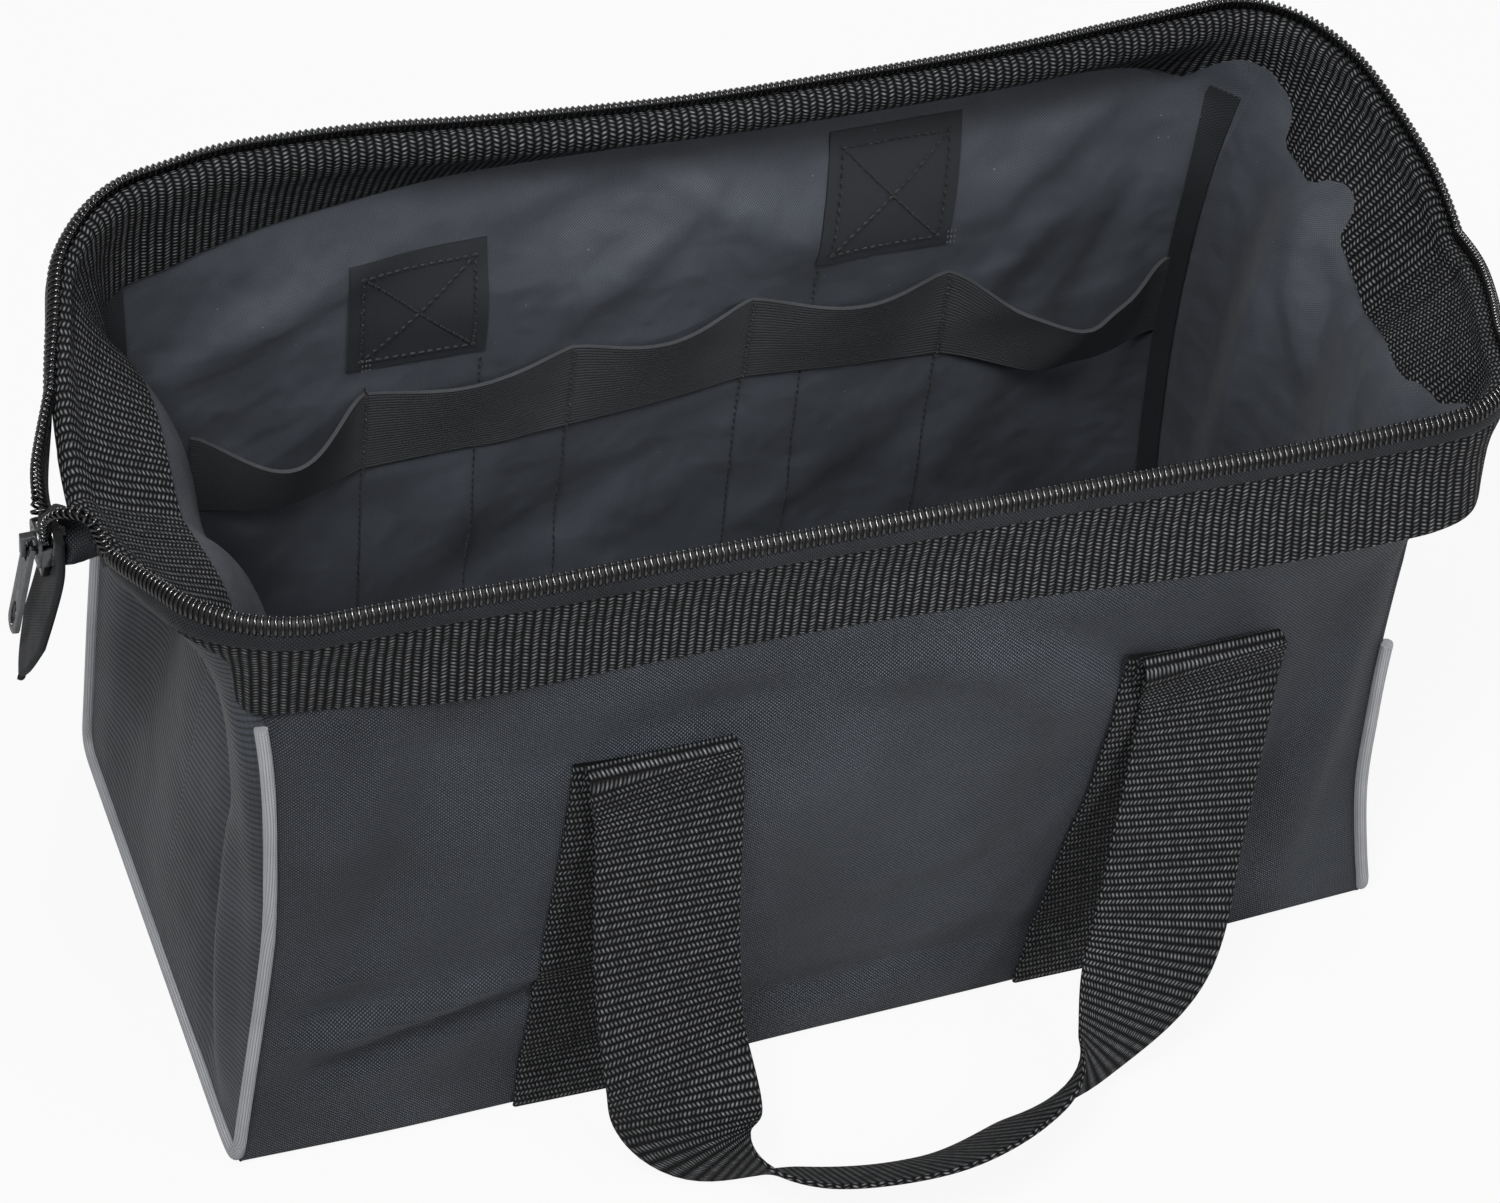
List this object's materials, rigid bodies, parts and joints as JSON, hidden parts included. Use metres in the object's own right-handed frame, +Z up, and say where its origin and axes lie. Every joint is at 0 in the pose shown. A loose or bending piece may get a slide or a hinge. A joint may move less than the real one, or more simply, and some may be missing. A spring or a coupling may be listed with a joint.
{
  "type": "zippered tool bag",
  "caption": "Soft wide-mouth tool bag with a wire-framed zip mouth, webbing handles, piped ends and an inside elastic tool band.",
  "frame": {"origin": "middle of the flat underside of the base", "axes": "+X along the length, away from the zip slider; -Y towards the front; +Z up"},
  "size_m": [0.4668, 0.3682, 0.2562],
  "materials": {
    "outer_cloth": "woven polyester, matt",
    "lining": "coated inside of the cloth, slight sheen",
    "webbing": "ribbed polypropylene webbing",
    "elastic": "ribbed elastic",
    "piping": "light grey covered piping",
    "steel": "drawn steel wire",
    "gunmetal": "gunmetal plated zinc",
    "nylon": "glossy nylon coil",
    "board": "stiffening board in lining cloth"
  },
  "bodies": {
    "base": {"base_panel": "outer_cloth", "base_board": "board", "left_end_wall": "outer_cloth", "right_end_wall": "outer_cloth", "left_base_piping": "piping", "right_base_piping": "piping"},
    "front_side": {"front_wall": "outer_cloth", "front_long_band": "webbing", "front_long_zip_tape": "outer_cloth", "front_long_zip_coil": "nylon", "front_left_sewn_strap": "webbing", "front_right_sewn_strap": "webbing", "front_left_piping": "piping", "front_right_piping": "piping", "front_left_seam_binding": "lining", "front_right_seam_binding": "lining"},
    "back_side": {"back_wall": "outer_cloth", "back_long_band": "webbing", "back_long_zip_tape": "outer_cloth", "back_long_zip_coil": "nylon", "back_left_sewn_strap": "webbing", "back_right_sewn_strap": "webbing", "back_left_piping": "piping", "back_right_piping": "piping", "back_left_seam_binding": "lining", "back_right_seam_binding": "lining", "left_handle_patch": "lining", "right_handle_patch": "lining", "elastic_tool_band": "elastic"},
    "front_frame": {"front_wire": "steel", "front_left_arm_band": "webbing", "front_left_arm_zip_tape": "outer_cloth", "front_left_arm_zip_coil": "nylon", "front_right_arm_band": "webbing", "front_right_arm_zip_tape": "outer_cloth", "front_right_arm_zip_coil": "nylon", "left_hinge_cover": "webbing", "right_hinge_cover": "webbing", "right_zip_join": "outer_cloth", "front_zip_tail": "outer_cloth", "back_zip_tail": "outer_cloth", "zip_chain_end": "nylon", "zip_end_tab": "webbing"},
    "back_frame": {"back_wire": "steel", "back_left_arm_band": "webbing", "back_left_arm_zip_tape": "outer_cloth", "back_left_arm_zip_coil": "nylon", "back_right_arm_band": "webbing", "back_right_arm_zip_tape": "outer_cloth", "back_right_arm_zip_coil": "nylon"},
    "slider": {"slider": "gunmetal"},
    "pull": {"slider_pull": "gunmetal"},
    "front_handle": {"front_handle": "webbing"},
    "back_handle": {"back_handle": "webbing"}
  },
  "joints": [
    {"name": "mouth_close", "type": "hinge", "parent": "base", "child": "front_side", "pos_m": [0, -0.088, 0.003], "axis": [-1, 0, 0], "range_deg": [0, 18.5], "deforming": ["left_end_wall", "right_end_wall", "left_hinge_cover", "right_hinge_cover", "right_zip_join", "back_zip_tail"]},
    {"name": "back_side_close", "type": "hinge", "parent": "base", "child": "back_side", "pos_m": [0, 0.088, 0.003], "axis": [1, 0, 0], "range_deg": [0, 18.5]},
    {"name": "front_frame_fold", "type": "hinge", "parent": "front_side", "child": "front_frame", "pos_m": [0, -0.095, 0.2415], "axis": [-1, 0, 0], "range_deg": [0, 51.5]},
    {"name": "back_frame_fold", "type": "hinge", "parent": "back_side", "child": "back_frame", "pos_m": [0, 0.095, 0.2415], "axis": [1, 0, 0], "range_deg": [0, 51.5]},
    {"name": "slider_travel", "type": "slide", "parent": "front_frame", "child": "slider", "axis": [0, 0, 1], "range_m": [0, 0.012], "deforming": ["front_zip_tail"]},
    {"name": "pull_swing", "type": "hinge", "parent": "slider", "child": "pull", "pos_m": [-0.2451, -0.014, 0.222], "axis": [0, 1, 0], "range_deg": [0, 150]},
    {"name": "front_handle_swing", "type": "hinge", "parent": "front_side", "child": "front_handle", "pos_m": [0, -0.09764, 0.168], "axis": [-1, 0, 0], "range_deg": [0, 130]},
    {"name": "back_handle_swing", "type": "hinge", "parent": "back_side", "child": "back_handle", "pos_m": [0, 0.09764, 0.168], "axis": [1, 0, 0], "range_deg": [0, 130]}
  ],
  "couplings": [
    {"joint": "back_side_close", "follows": "mouth_close", "ratio": 1},
    {"joint": "front_frame_fold", "follows": "mouth_close", "ratio": 2.78},
    {"joint": "back_frame_fold", "follows": "mouth_close", "ratio": 2.78}
  ]
}
